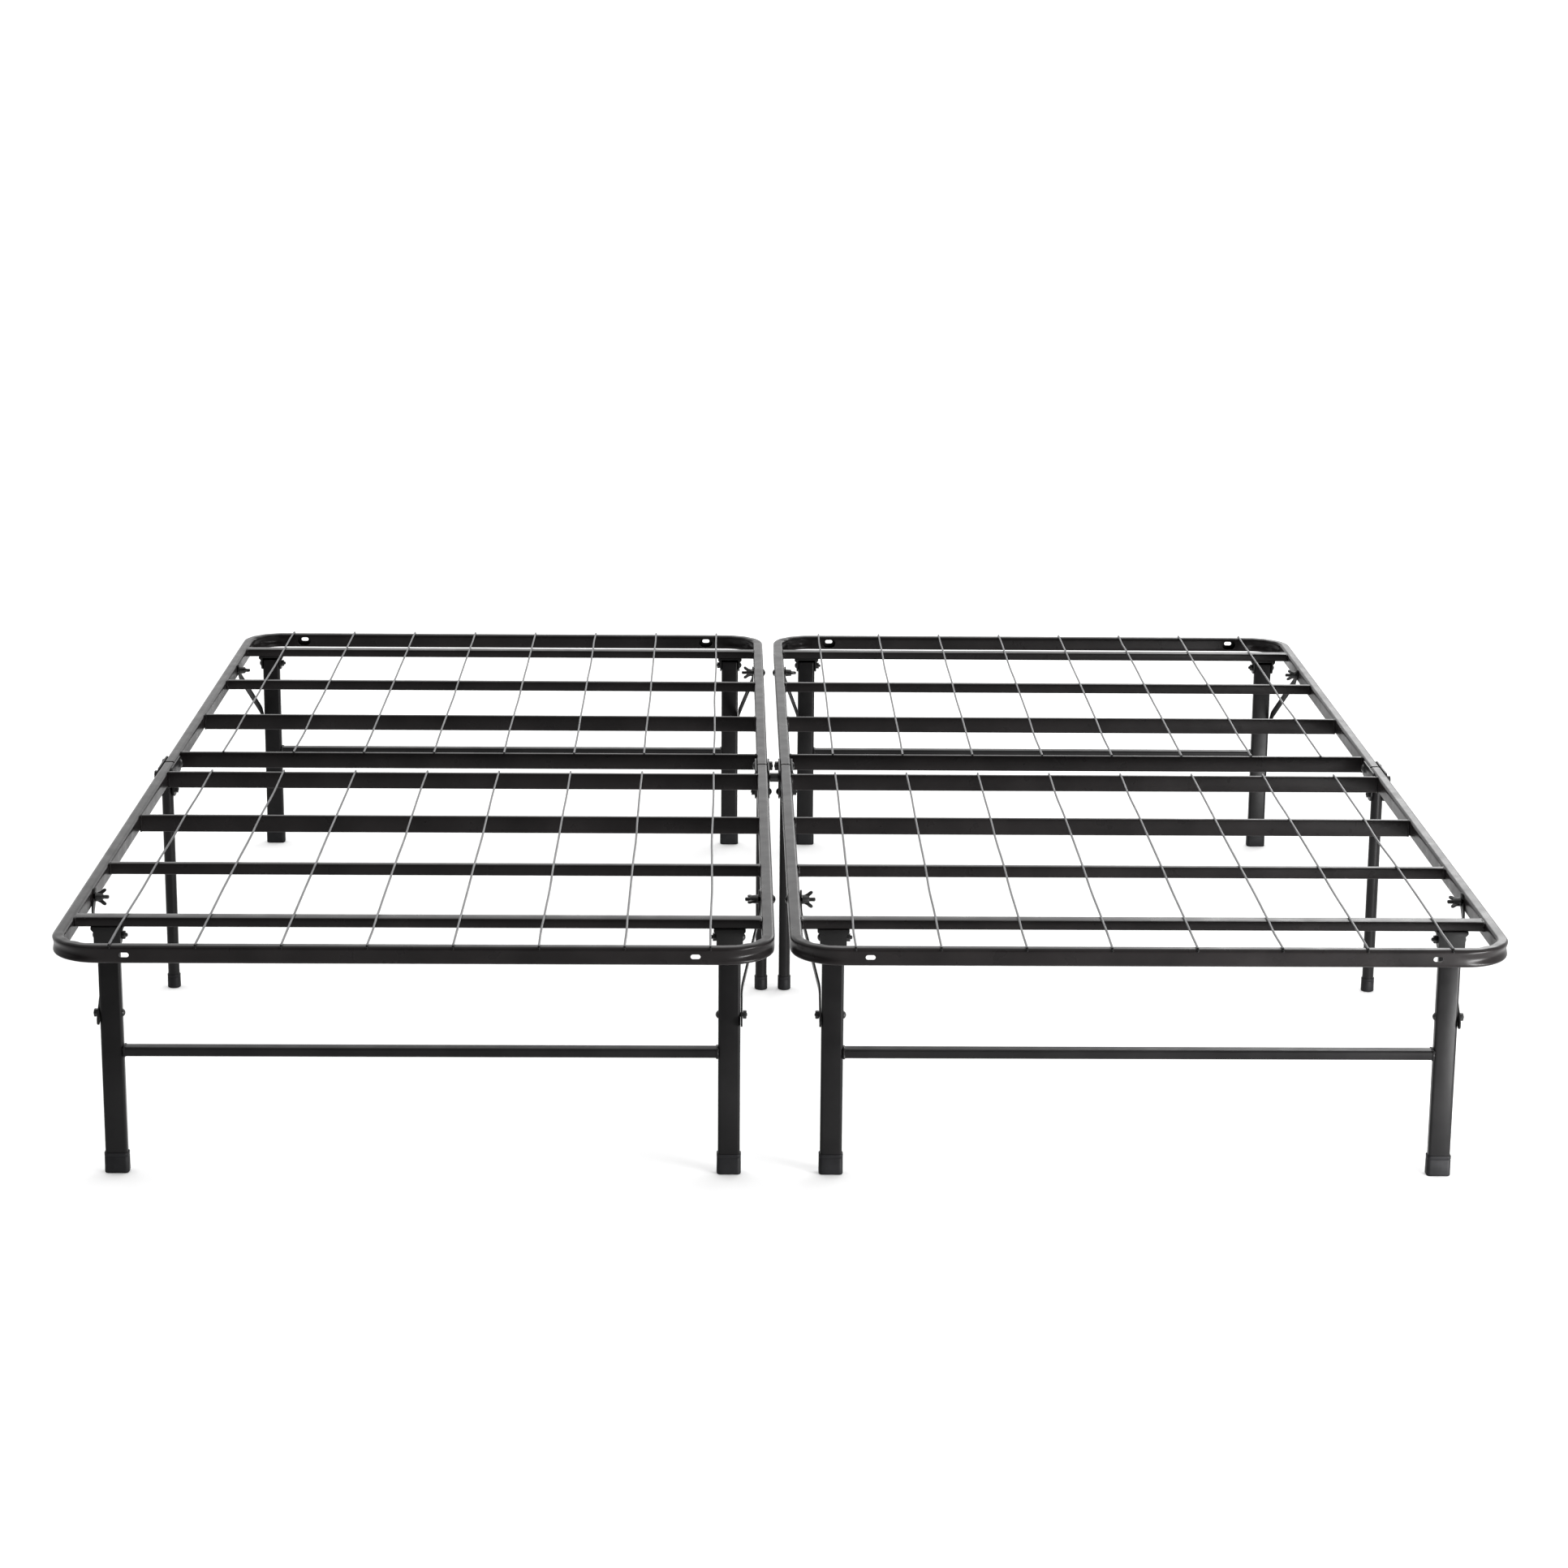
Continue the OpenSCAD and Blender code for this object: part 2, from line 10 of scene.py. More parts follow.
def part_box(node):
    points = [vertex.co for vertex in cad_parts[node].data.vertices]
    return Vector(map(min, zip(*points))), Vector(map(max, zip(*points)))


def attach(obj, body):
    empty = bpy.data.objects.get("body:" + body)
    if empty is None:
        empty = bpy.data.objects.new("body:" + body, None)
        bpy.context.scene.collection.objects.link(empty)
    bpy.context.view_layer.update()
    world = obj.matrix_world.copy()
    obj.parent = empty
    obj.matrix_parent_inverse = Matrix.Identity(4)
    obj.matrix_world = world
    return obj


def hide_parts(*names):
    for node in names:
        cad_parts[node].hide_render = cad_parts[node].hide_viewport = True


# The looks of a folding metal bed frame: welded tubes, wires, bolts, nuts and caps, each one
# built as a mesh in millimetres, in the place that its CAD node has, and hung on its body.

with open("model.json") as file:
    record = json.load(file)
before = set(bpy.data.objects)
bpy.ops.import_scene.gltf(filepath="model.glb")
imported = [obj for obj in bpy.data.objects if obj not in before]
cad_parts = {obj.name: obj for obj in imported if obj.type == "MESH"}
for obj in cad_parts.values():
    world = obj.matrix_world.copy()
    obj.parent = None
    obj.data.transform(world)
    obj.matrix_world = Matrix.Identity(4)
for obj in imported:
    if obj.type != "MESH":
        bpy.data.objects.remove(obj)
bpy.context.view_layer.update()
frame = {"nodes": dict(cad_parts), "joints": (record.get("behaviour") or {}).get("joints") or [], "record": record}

MM = 0.001
FOOT, HEAD = 1, -1
LEFT, RIGHT = -1, 1
ENDS = {"foot": FOOT, "head": HEAD}
SIDES = {"left": LEFT, "right": RIGHT}


# ---------------------------------------------------------------- sizes from the frame

def corners(node):
    """Lowest and highest corner of a CAD node, in millimetres."""
    low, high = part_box(node)
    return np.array(low) / MM, np.array(high) / MM


def pivot(joint):
    """Place of a joint, in millimetres."""
    return next(np.array(j["pos_m"]) for j in frame["joints"] if j["name"] == joint) / MM


rail_low, rail_high = corners("foot_right_rail")
slat_low, slat_high = corners("foot_right_slats")
wire_low, wire_high = corners("foot_right_wires")
post_low, post_high = corners("foot_right_leg_frame")
_, cap_high = corners("foot_right_caps")
mid_leg_low, mid_leg_high = corners("right_mid_leg_outer")
mid_cap_low, mid_cap_high = corners("right_mid_cap_outer")
sleeve_low, sleeve_high = corners("coupling_sleeve")

half_x = (rail_low[0] + rail_high[0]) / 2
half_w = rail_high[0] - rail_low[0]
top_z = rail_high[2]
rail_h = rail_high[2] - rail_low[2]
rail_mid_z = top_z - rail_h / 2
end_y = -rail_low[1]
fold_gap = -2 * rail_high[1]
rail_in = (slat_high[0] - slat_low[0]) / 2
rail_w = half_w / 2 - rail_in
rail_x = rail_in + rail_w / 2
leg_y = -pivot("foot_right_leg_fold")[1]
leg_pivot_z = pivot("foot_right_leg_fold")[2]
brace_z = pivot("foot_right_brace_fold")[2]
brace_y = -pivot("foot_right_wing_inner_spin")[1]
fold_y = pivot("right_head_fold")[1]
wire_d = wire_high[2] - top_z
board_slots = next(m for m in frame["record"]["mounts"] if m["name"] == "foot_right_board_slots")
slot_x = board_slots["dims"]["spacing_x_mm"] / 2
slot_l = board_slots["dims"]["slot_length_mm"]
slot_w = 2 * board_slots["dims"]["hole_r_mm"]

WALL = 1.2
WALL_CUT = WALL + 1
ACCESS_L, ACCESS_H = 24, 17
RAIL_EDGE_R = 4.5
CORNER_R = 68
# Dents of the rail's bends: hollow outside, crease inside, ripples on top.
GROOVE_DEPTH, GROOVE_REACH, GROOVE_HEIGHT = 4.6, 66, 6.2
CREASE_DEPTH, CREASE_HEIGHT, CREASE_PITCH = 3.4, 5.0, 5.2
RIPPLE_DEPTH, RIPPLE_PITCH = 0.7, 4.1
SLAT_W = (22, 12, 9, 9)
SLAT_H = (13, 16, 25, 25)
SLAT_EDGE_R = 2
slat_pitch = (slat_high[1] - SLAT_W[3] / 2 + leg_y) / (len(SLAT_W) - 1)
WIRE_COUNT = 8
wire_pitch = (wire_high[0] - wire_low[0] - wire_d) / (WIRE_COUNT - 1)
WIRE_BEND = 55
LEG_W, LEG_D, LEG_EDGE_R = 30, 16, 4
leg_x = (post_high[0] - post_low[0]) / 2 - LEG_W / 2
CROSSBAR_Z, CROSSBAR_H = 173, 13
crossbar_d = post_high[1] - post_low[1]
CAP_FLOOR = 3
SHEET_T = 2.5
GAP = 0.3
EAR_X = LEG_W / 2 + GAP
leg_top = post_high[2]
cap_wall = cap_high[0] - post_high[0]
mid_pivot_z = pivot("right_mid_outer_fold")[2]
BRACE_W = 15
BRACE_TAIL, BRACE_HEAD = 18, 14
BRACE_FLAT, BRACE_FLAT_TOP = 40, 24
NOTCH_W = 7
brace_x0 = leg_x + EAR_X
brace_x1 = rail_in - GAP - SHEET_T
brace_run = leg_y - brace_y
brace_rise = rail_mid_z - brace_z
brace_l = math.hypot(brace_run, brace_rise)
brace_lean = math.degrees(math.atan2(brace_run, brace_rise))

SMALL_BOLT = dict(d=6, head=11, head_t=3.6, nut_af=10, nut_h=5)
FOLD_BOLT = dict(d=8, head=14, head_t=4, nut_af=13, nut_h=5.5)
CARRIAGE_HEAD, CARRIAGE_HEAD_T = 13, 3.6
CARRIAGE_TIP = 21.5
LEG_TIP, BRACE_TIP, FOLD_TIP = 3, 1, 0.8
WING_EDGE = (
    (3.6, 1.5), (6, 1.5), (7.4, 6), (11.8, 11), (11.6, 14.4), (8.8, 15.2), (5, 11), (3.6, 8),
)


# ---------------------------------------------------------------- mesh building

class Shape:
    """Points in millimetres, and faces with the number of their coat, before they are a mesh."""

    def __init__(self, points, faces, coats=None):
        self.points = np.asarray(points, float).reshape(-1, 3)
        self.faces = faces
        self.coats = coats or [0] * len(faces)

    def of(self, points):
        return Shape(points, self.faces, self.coats)

    def moved(self, x=0.0, y=0.0, z=0.0):
        return self.of(self.points + (x, y, z))

    def scaled(self, x=1.0, y=1.0, z=1.0):
        return self.of(self.points * (x, y, z))

    def turned(self, axis, degrees):
        turn = np.array(Matrix.Rotation(math.radians(degrees), 3, axis))
        return self.of(self.points @ turn.T)

    def along_x(self):
        return self.turned("Y", 90)

    def coated(self, number):
        return Shape(self.points, self.faces, [number] * len(self.faces))

    def in_section(self, end, side):
        """A foot-section shape, in that section of the left or right half."""
        return self.scaled(y=end).moved(x=side * half_x)


def together(shapes):
    points, faces, coats, start = [], [], [], 0
    for shape in shapes:
        points.append(shape.points)
        faces += [tuple(start + i for i in face) for face in shape.faces]
        coats += shape.coats
        start += len(shape.points)
    return Shape(np.vstack(points), faces, coats)


def both_sides(shape):
    """A shape made for the +X side, and its mirror image on the -X side."""
    return together([shape, shape.scaled(x=-1)])


def loft(rings, closed=False):
    """Skin over rings of equally many points. A skin that isn't closed gets flat ends."""
    rings = np.asarray(rings, float)
    index = np.arange(rings.shape[0] * rings.shape[1]).reshape(rings.shape[:2])
    first, last = index[0], index[-1]
    if closed:
        index = np.vstack([index, first])
    a, b = index[:-1], index[1:]
    quads = np.stack([a, np.roll(a, -1, 1), np.roll(b, -1, 1), b], -1).reshape(-1, 4)
    faces = [tuple(q) for q in quads.tolist()]
    if not closed:
        faces += [tuple(first[::-1].tolist()), tuple(last.tolist())]
    return Shape(rings, faces)


def pipe(outer, inner):
    """Wall between an outer and an inner stack of rings, closed by a rim at each end."""
    return loft(list(outer) + list(inner)[::-1], closed=True)


def lifted(outline, z):
    """A flat outline as a ring at height z."""
    return np.c_[outline, np.full(len(outline), z)]


def round_rect(w, h, r, arc=4, flat=1):
    """Closed outline round the origin with arc steps on each corner and flat steps on each side."""
    points = []
    for k, (x, y) in enumerate(((1, 1), (-1, 1), (-1, -1), (1, -1))):
        angle = np.radians(np.linspace(90 * k, 90 * k + 90, arc + 1))
        across, up = x * (w / 2 - r), y * (h / 2 - r)
        points.append(np.c_[across + r * np.cos(angle), up + r * np.sin(angle)])
    outline = []
    for corner, following in zip(points, points[1:] + points[:1]):
        steps = np.linspace(0, 1, flat + 1)[1:-1, None]
        outline += [corner, corner[-1] + steps * (following[0] - corner[-1])]
    return np.vstack(outline)


def circle(d, steps=24):
    angle = np.linspace(0, 2 * math.pi, steps, endpoint=False)
    return np.c_[d / 2 * np.cos(angle), d / 2 * np.sin(angle)]


def revolved(profile, steps=24):
    """Solid of revolution about z, from (radius, height) pairs."""
    return loft([lifted(circle(2 * r, steps), z) for r, z in profile])


def smooth_closed(points, rounds=2):
    """Cuts the corners of a closed outline until it is round."""
    points = np.asarray(points, float)
    for _ in range(rounds):
        following = np.roll(points, -1, 0)
        pairs = [0.75 * points + 0.25 * following, 0.25 * points + 0.75 * following]
        points = np.stack(pairs, 1).reshape(-1, 2)
    return points


def weld(path, outward, across, radius, seed):
    """Lumpy closed bead along a path. Its section lies in the outward and across directions."""
    rng = np.random.RandomState(seed)
    count = len(path)
    turn = np.linspace(0, 2 * math.pi, count, endpoint=False)
    lumps = sum(
        a * np.sin(k * turn + rng.uniform(0, 6.28)) for k, a in ((3, 0.12), (7, 0.14), (13, 0.12))
    )
    sizes = radius * (1 + lumps)
    section = circle(2, 8)
    rings = [
        p + s * (section[:, :1] * o + section[:, 1:] * across)
        for p, s, o in zip(path, sizes, outward)
    ]
    return loft(rings, closed=True)


def end_weld(w, h, x, radius, seed):
    """Bead round the end of a tube along X, where it meets another tube at x."""
    outline = round_rect(w, h, 2, arc=4, flat=6)
    outward = outline / np.linalg.norm(outline, axis=1)[:, None]
    path = np.c_[np.full(len(outline), x), outline]
    return weld(path, np.c_[np.zeros(len(outline)), outward], np.array((1.0, 0, 0)), radius, seed)


def mesh_of(shape, name):
    """Mesh in metres with its faces turned outwards."""
    mesh = bpy.data.meshes.new(name)
    mesh.from_pydata((shape.points * MM).tolist(), [], shape.faces)
    mesh.polygons.foreach_set("material_index", shape.coats)
    solid = bmesh.new()
    solid.from_mesh(mesh)
    bmesh.ops.recalc_face_normals(solid, faces=solid.faces)
    solid.to_mesh(mesh)
    solid.free()
    return mesh


def shape_of(mesh):
    points = np.empty(3 * len(mesh.vertices), np.float32)
    mesh.vertices.foreach_get("co", points)
    coats = [p.material_index for p in mesh.polygons]
    return Shape(points / MM, [tuple(p.vertices) for p in mesh.polygons], coats)


def minus(shape, cutters):
    """A shape with the cutters taken out of it."""
    body = bpy.data.objects.new("cut_body", mesh_of(shape, "cut_body"))
    tool = bpy.data.objects.new("cut_tool", mesh_of(together(cutters), "cut_tool"))
    for made in (body, tool):
        bpy.context.scene.collection.objects.link(made)
    cutting = body.modifiers.new("cut", "BOOLEAN")
    cutting.operation, cutting.solver, cutting.object = "DIFFERENCE", "EXACT", tool
    result = shape_of(body.evaluated_get(bpy.context.evaluated_depsgraph_get()).to_mesh())
    for made in (body, tool):
        bpy.data.objects.remove(made)
    return result


def softened(node, width):
    """A CAD node's own shape with its hard edges rounded off."""
    solid = bmesh.new()
    solid.from_mesh(frame["nodes"][node].data)
    bmesh.ops.remove_doubles(solid, verts=solid.verts, dist=0.02 * MM)
    bmesh.ops.dissolve_limit(
        solid, angle_limit=math.radians(1), verts=solid.verts, edges=solid.edges
    )
    hard = [e for e in solid.edges if e.is_manifold and e.calc_face_angle() > math.radians(35)]
    bmesh.ops.bevel(
        solid, geom=hard, offset=width * MM, segments=2, profile=0.6, affect="EDGES",
        clamp_overlap=True,
    )
    mesh = bpy.data.meshes.new("softened")
    solid.to_mesh(mesh)
    solid.free()
    shape = shape_of(mesh)
    bpy.data.meshes.remove(mesh)
    return shape


# ---------------------------------------------------------------- materials

def new_material(name):
    material = bpy.data.materials.new(name)
    material.use_nodes = True
    nodes, links = material.node_tree.nodes, material.node_tree.links
    return material, nodes, links, nodes["Principled BSDF"]


def noise(nodes, links, scale, detail=3.0, stretch=(1, 1, 1)):
    """Noise over the object's own coordinates, in cycles to the metre."""
    place = nodes.new("ShaderNodeTexCoord")
    mapping = nodes.new("ShaderNodeMapping")
    mapping.inputs["Scale"].default_value = stretch
    texture = nodes.new("ShaderNodeTexNoise")
    texture.inputs["Scale"].default_value = scale
    texture.inputs["Detail"].default_value = detail
    links.new(place.outputs["Object"], mapping.inputs["Vector"])
    links.new(mapping.outputs["Vector"], texture.inputs["Vector"])
    return texture.outputs["Fac"]


def ramp(nodes, links, source, stops):
    """Colour ramp of (position, grey or colour) stops over a source."""
    colours = nodes.new("ShaderNodeValToRGB")
    points = colours.color_ramp.elements
    for point, (position, value) in zip((points[0], points[1]), stops):
        point.position = position
        point.color = (*value, 1) if isinstance(value, tuple) else (value, value, value, 1)
    links.new(source, colours.inputs["Fac"])
    return colours.outputs["Color"]


def bumps(nodes, links, shader, layers):
    """Bump of several (height source, strength, depth in metres) layers."""
    normal = None
    for source, strength, depth in layers:
        bump = nodes.new("ShaderNodeBump")
        bump.inputs["Strength"].default_value = strength
        bump.inputs["Distance"].default_value = depth
        links.new(source, bump.inputs["Height"])
        if normal is not None:
            links.new(normal, bump.inputs["Normal"])
        normal = bump.outputs["Normal"]
    links.new(normal, shader.inputs["Normal"])


def powder_coat(name, dark, light, gloss):
    """Semi-gloss black powder coat: orange peel, cloudy sheen and a faint warm tint."""
    material, nodes, links, shader = new_material(name)
    clouds = noise(nodes, links, 14)
    links.new(ramp(nodes, links, clouds, ((0.3, dark), (0.75, light))), shader.inputs["Base Color"])
    rough = ramp(nodes, links, noise(nodes, links, 35), ((0.25, gloss - 0.05), (0.8, gloss + 0.07)))
    links.new(rough, shader.inputs["Roughness"])
    shader.inputs["Specular IOR Level"].default_value = 0.1
    bumps(nodes, links, shader, (
        (noise(nodes, links, 700, 2), 0.25, 0.00012),
        (noise(nodes, links, 90, 2), 0.2, 0.0003),
    ))
    return material


def black_oxide(name):
    """Blackened fasteners: dull, a little metallic, with fine pitting."""
    material, nodes, links, shader = new_material(name)
    tone = noise(nodes, links, 160)
    links.new(ramp(nodes, links, tone, ((0.3, 0.006), (0.8, 0.016))), shader.inputs["Base Color"])
    rough = ramp(nodes, links, noise(nodes, links, 240), ((0.2, 0.32), (0.8, 0.5)))
    links.new(rough, shader.inputs["Roughness"])
    shader.inputs["Specular IOR Level"].default_value = 0.35
    bumps(nodes, links, shader, ((noise(nodes, links, 1500, 2), 0.3, 0.0001),))
    return material


def bright_zinc(name):
    """Drawn wire with zinc plating: lengthways drawing marks and cloudy grey patches."""
    material, nodes, links, shader = new_material(name)
    patches = noise(nodes, links, 60, 4, (1, 0.3, 1))
    colour = ramp(nodes, links, patches, ((0.3, (0.045, 0.045, 0.047)), (0.75, (0.1, 0.1, 0.103))))
    links.new(colour, shader.inputs["Base Color"])
    shader.inputs["Metallic"].default_value = 1
    marks = noise(nodes, links, 2200, 2, (1, 0.03, 1))
    links.new(ramp(nodes, links, marks, ((0.2, 0.34), (0.8, 0.5))), shader.inputs["Roughness"])
    bumps(nodes, links, shader, ((marks, 0.25, 0.00008),))
    return material


def foot_plastic(name):
    """Moulded black plastic with a fine matt grain."""
    material, nodes, links, shader = new_material(name)
    tone = noise(nodes, links, 50)
    colour = ramp(
        nodes, links, tone, ((0.3, (0.006, 0.006, 0.0066)), (0.75, (0.012, 0.012, 0.0132)))
    )
    links.new(colour, shader.inputs["Base Color"])
    rough = ramp(nodes, links, noise(nodes, links, 90), ((0.2, 0.5), (0.8, 0.64)))
    links.new(rough, shader.inputs["Roughness"])
    shader.inputs["Specular IOR Level"].default_value = 0.14
    bumps(nodes, links, shader, ((noise(nodes, links, 1800, 2), 0.35, 0.00012),))
    return material


frame_coat = powder_coat("frame_coat", (0.006, 0.0052, 0.0053), (0.012, 0.0105, 0.0106), 0.3)
leg_coat = powder_coat("leg_coat", (0.006, 0.0058, 0.006), (0.011, 0.0107, 0.011), 0.33)
sheet_coat = powder_coat("sheet_coat", (0.005, 0.005, 0.005), (0.01, 0.01, 0.01), 0.38)
oxide = black_oxide("black_oxide")
zinc = bright_zinc("bright_zinc")
plastic = foot_plastic("foot_plastic")


# ---------------------------------------------------------------- frame tubes

def bend_groove(points, travel):
    """Presses the dents of a tight bend into the rail's rings.

    Points are (outward, up) for each ring, and travel is each ring's distance from the middle
    of the bend.
    """
    window = np.cos(np.clip(travel / GROOVE_REACH, -1, 1) * math.pi / 2) ** 2
    out, up = points[..., 0], points[..., 1]
    press = window[:, None]
    outer = np.clip(out / (rail_w / 2), 0, 1) ** 2
    inner = np.clip(-out / (rail_w / 2), 0, 1) ** 2
    hollow = np.exp(-((up + 1.0) / GROOVE_HEIGHT) ** 2)
    crease = np.exp(-((up + 0.5) / CREASE_HEIGHT) ** 2)
    crease = crease * (1 + 0.35 * np.cos(travel[:, None] / CREASE_PITCH))
    out = out - press * GROOVE_DEPTH * outer * hollow + press * CREASE_DEPTH * inner * crease
    ripple = np.clip(up / (rail_h / 2), 0, 1) ** 3 * (inner + 0.25)
    up = up - press * RIPPLE_DEPTH * ripple * (1 + np.cos(travel[:, None] / RIPPLE_PITCH))
    return np.stack([out, up], -1)


def rail_rings(inset):
    """Rings of the bent tube round both corners, fold end to fold end, inset from its face."""
    outline = round_rect(
        rail_w - 2 * inset, rail_h - 2 * inset, RAIL_EDGE_R - inset, arc=5, flat=7
    )
    bend_r = CORNER_R - rail_w / 2
    arc_l = bend_r * math.pi / 2
    straight_x = rail_x - bend_r
    straight_y = end_y - CORNER_R - fold_gap / 2
    near = np.arange(0, 54, 4.5)
    before = np.r_[np.linspace(0, straight_x - 58, 5), straight_x - near[::-1]]
    through = straight_x + np.linspace(0, arc_l, 31)[1:-1]
    after = straight_x + arc_l + np.r_[near, np.linspace(60, straight_y, 5)]
    travel = np.r_[before, through, after]
    angle = np.clip((travel - straight_x) / arc_l, 0, 1) * math.pi / 2
    past = np.clip(travel - straight_x - arc_l, 0, None)
    x = np.minimum(travel, straight_x) + bend_r * np.sin(angle)
    y = -(end_y - rail_w / 2) + bend_r * (1 - np.cos(angle)) + past
    shaped = bend_groove(
        np.repeat(outline[None], len(travel), 0), travel - straight_x - arc_l / 2
    )
    outward = np.stack([np.sin(angle), -np.cos(angle)], -1)
    flat = np.stack([x, y], -1)[:, None] + shaped[..., :1] * outward[:, None]
    right = np.concatenate([flat, rail_mid_z + shaped[..., 1:]], -1)
    left = right[:0:-1] * (-1, 1, 1)
    return np.concatenate([left, right])


def bore(d, x0, x1, y, z):
    """Cutter for a round hole along X."""
    ring = circle(d, 28)
    hole = loft([lifted(ring, x0), lifted(ring, x1)]).along_x()
    return hole.moved(y=y, z=z)


def oblong_hole(length, height, x, y):
    """Cutter for an oblong hole along Y through one wall of the end rail."""
    outline = round_rect(length, height, height / 2 - 0.01, arc=8)
    flat = [lifted(outline, depth) for depth in (-WALL_CUT, WALL_CUT)]
    return loft(flat).turned("X", 90).moved(x, y, rail_mid_z)


def rail():
    cutters = []
    for side in (LEFT, RIGHT):
        cutters.append(oblong_hole(slot_l, slot_w, side * slot_x, -end_y))
        cutters.append(oblong_hole(ACCESS_L, ACCESS_H, side * slot_x, rail_w - end_y))
        for y, d in ((brace_y, SMALL_BOLT["d"]), (fold_y, FOLD_BOLT["d"])):
            span = sorted((side * (rail_x - rail_w), side * (rail_x + rail_w)))
            cutters.append(bore(d, *span, -y, rail_mid_z))
    return minus(pipe(rail_rings(0), rail_rings(WALL)), cutters)


def slat_rings(w, h):
    """Rings along a slat, whose ends spread a little where they were cut."""
    xs = rail_in * np.r_[-1, -0.994, -0.985, np.linspace(-0.97, 0.97, 9), 0.985, 0.994, 1]
    flare = 1 + 0.1 * np.clip((np.abs(xs) / rail_in - 0.97) / 0.03, 0, 1) ** 2
    outline = round_rect(w, h, SLAT_EDGE_R, arc=4, flat=2)
    return [np.c_[np.full(len(outline), x), outline * (f, 1)] for x, f in zip(xs, flare)]


def slats():
    parts = []
    for i, (w, h) in enumerate(zip(SLAT_W, SLAT_H)):
        y, z = i * slat_pitch - leg_y, top_z - h / 2
        tube = loft(slat_rings(w, h))
        beads = [
            end_weld(w * 1.1, h - 2.4, side * (rail_in - 0.9), 1.7, 10 * i + side + 1)
            for side in (LEFT, RIGHT)
        ]
        parts.append(together([tube] + beads).moved(y=y, z=z))
    return together(parts)


# ---------------------------------------------------------------- wires

def tube_along(path, d, steps=10):
    """Round tube along a path that stays in a plane of constant x."""
    path = np.asarray(path, float)
    ahead = np.gradient(path, axis=0)
    ahead /= np.linalg.norm(ahead, axis=1)[:, None]
    side = np.array((1.0, 0, 0))
    up = np.cross(side, ahead)
    section = circle(1, steps)
    sizes = np.broadcast_to(d, len(path))
    return loft([
        p + s * (section[:, :1] * side + section[:, 1:] * u) for p, s, u in zip(path, sizes, up)
    ])


def wire(x, seed):
    """Drawn wire over the slats. It bows a little between them, is spot-welded flat on each and is
    turned down over the end rail, and its ends sit in a dab of weld under the black coat. That
    black coat is partly painted shade: it darkens the notch and curl where the wire meets the edges."""
    rng = np.random.RandomState(seed)
    start = 3 * slat_pitch - leg_y + SLAT_W[3] / 2
    bend_y = RAIL_EDGE_R - end_y
    ys = np.linspace(start, bend_y, 72)
    supports = np.r_[[i * slat_pitch - leg_y for i in (3, 2, 1, 0)], bend_y]
    sag = np.zeros(len(ys))
    sway = np.zeros(len(ys))
    for high, low in zip(supports[:-1], supports[1:]):
        share = np.clip((high - ys) / (high - low), 0, 1)
        sag += rng.uniform(0.5, 1.3) * np.sin(share * math.pi) ** 2 * (high - low) / slat_pitch
        sway += rng.uniform(-0.9, 0.9) * np.sin(share * math.pi) ** 2
    straight = np.c_[x + sway, ys, top_z + wire_d / 2 - sag]
    angle = np.radians(np.linspace(0, WIRE_BEND, 9)[1:])
    bend_r = RAIL_EDGE_R + wire_d / 2
    over = np.c_[
        np.full(len(angle), x),
        bend_y - bend_r * np.sin(angle),
        top_z - RAIL_EDGE_R + bend_r * np.cos(angle),
    ]
    path = np.vstack([straight, over])
    parts = [tube_along(path, wire_d)]
    for y in supports[1:4]:
        parts.append(dab(x, y, top_z, 5.0, 2.6, 0.9))
    tip = over[-1]
    ahead = (tip - over[-2]) / np.linalg.norm(tip - over[-2])
    swell = wire_d * (0.98 + 0.12 * np.sin(np.linspace(0, math.pi, 7)))
    # Coat 1, the black coat, on the wire's last few millimetres and end dabs, here and at the inner end below, is
    # partly painted shade for the dark curl and notch at the rail and slat edges.
    parts.append(tube_along(tip + np.outer(np.linspace(-3.6, 0, 7), ahead), swell).coated(1))
    parts.append(dab(x, tip[1] + 0.9, tip[2] - 1.2, 3.4, 3.4, 1.8).coated(1))
    inner_end = np.c_[np.full(5, x), start - np.linspace(0, 3.4, 5), np.full(5, top_z + 1.3)]
    parts.append(tube_along(inner_end, wire_d * 1.06).coated(1))
    parts.append(dab(x, start - 2.4, top_z, 4.4, 3.2, 1.6).coated(1))
    return together(parts)


def dab(x, y, z, length, width, height):
    """Small puddle of weld, flat at the edges and crowned in the middle."""
    rings = [
        lifted(circle(2, 14) * (width / 2 * s, length / 2 * s), h * height)
        for s, h in ((1.05, -0.35), (1, 0), (0.86, 0.5), (0.55, 0.85), (0.15, 1))
    ]
    return loft(rings).moved(x, y, z)


def wires():
    middle = (WIRE_COUNT - 1) / 2
    return together([wire((i - middle) * wire_pitch, 7 + i) for i in range(WIRE_COUNT)])


# ---------------------------------------------------------------- fasteners

def threaded_rod(d, length, pitch=1.0, steps=16):
    """Rod along z from 0 with a real thread and a chamfered point."""
    heights = np.append(np.arange(0, length - pitch / 10, pitch / 5), length)
    angle = np.linspace(0, 2 * math.pi, steps, endpoint=False)
    rings = []
    for z in heights:
        phase = (z / pitch - angle / (2 * math.pi)) % 1
        groove = 0.5 * pitch * (1 - np.abs(2 * phase - 1))
        point = np.clip((z - length + d / 5) / (d / 5), 0, 1) * d / 5
        radius = np.maximum(d / 2 - groove - point, 0.4)
        rings.append(np.c_[radius * np.cos(angle), radius * np.sin(angle), np.full(steps, z)])
    return loft(rings)


def round_head(d, h):
    """Low domed head under z = 0, with a rolled rim."""
    r = (d * d / 4 + h * h) / (2 * h)
    top = math.asin(d / 2 / r)
    cap = [(r * math.sin(a), r - h - r * math.cos(a)) for a in np.linspace(0.03, top * 0.97, 9)]
    return revolved(cap + [(d / 2, -0.45), (d / 2, -0.15), (d / 2 - 0.25, 0)], 32)


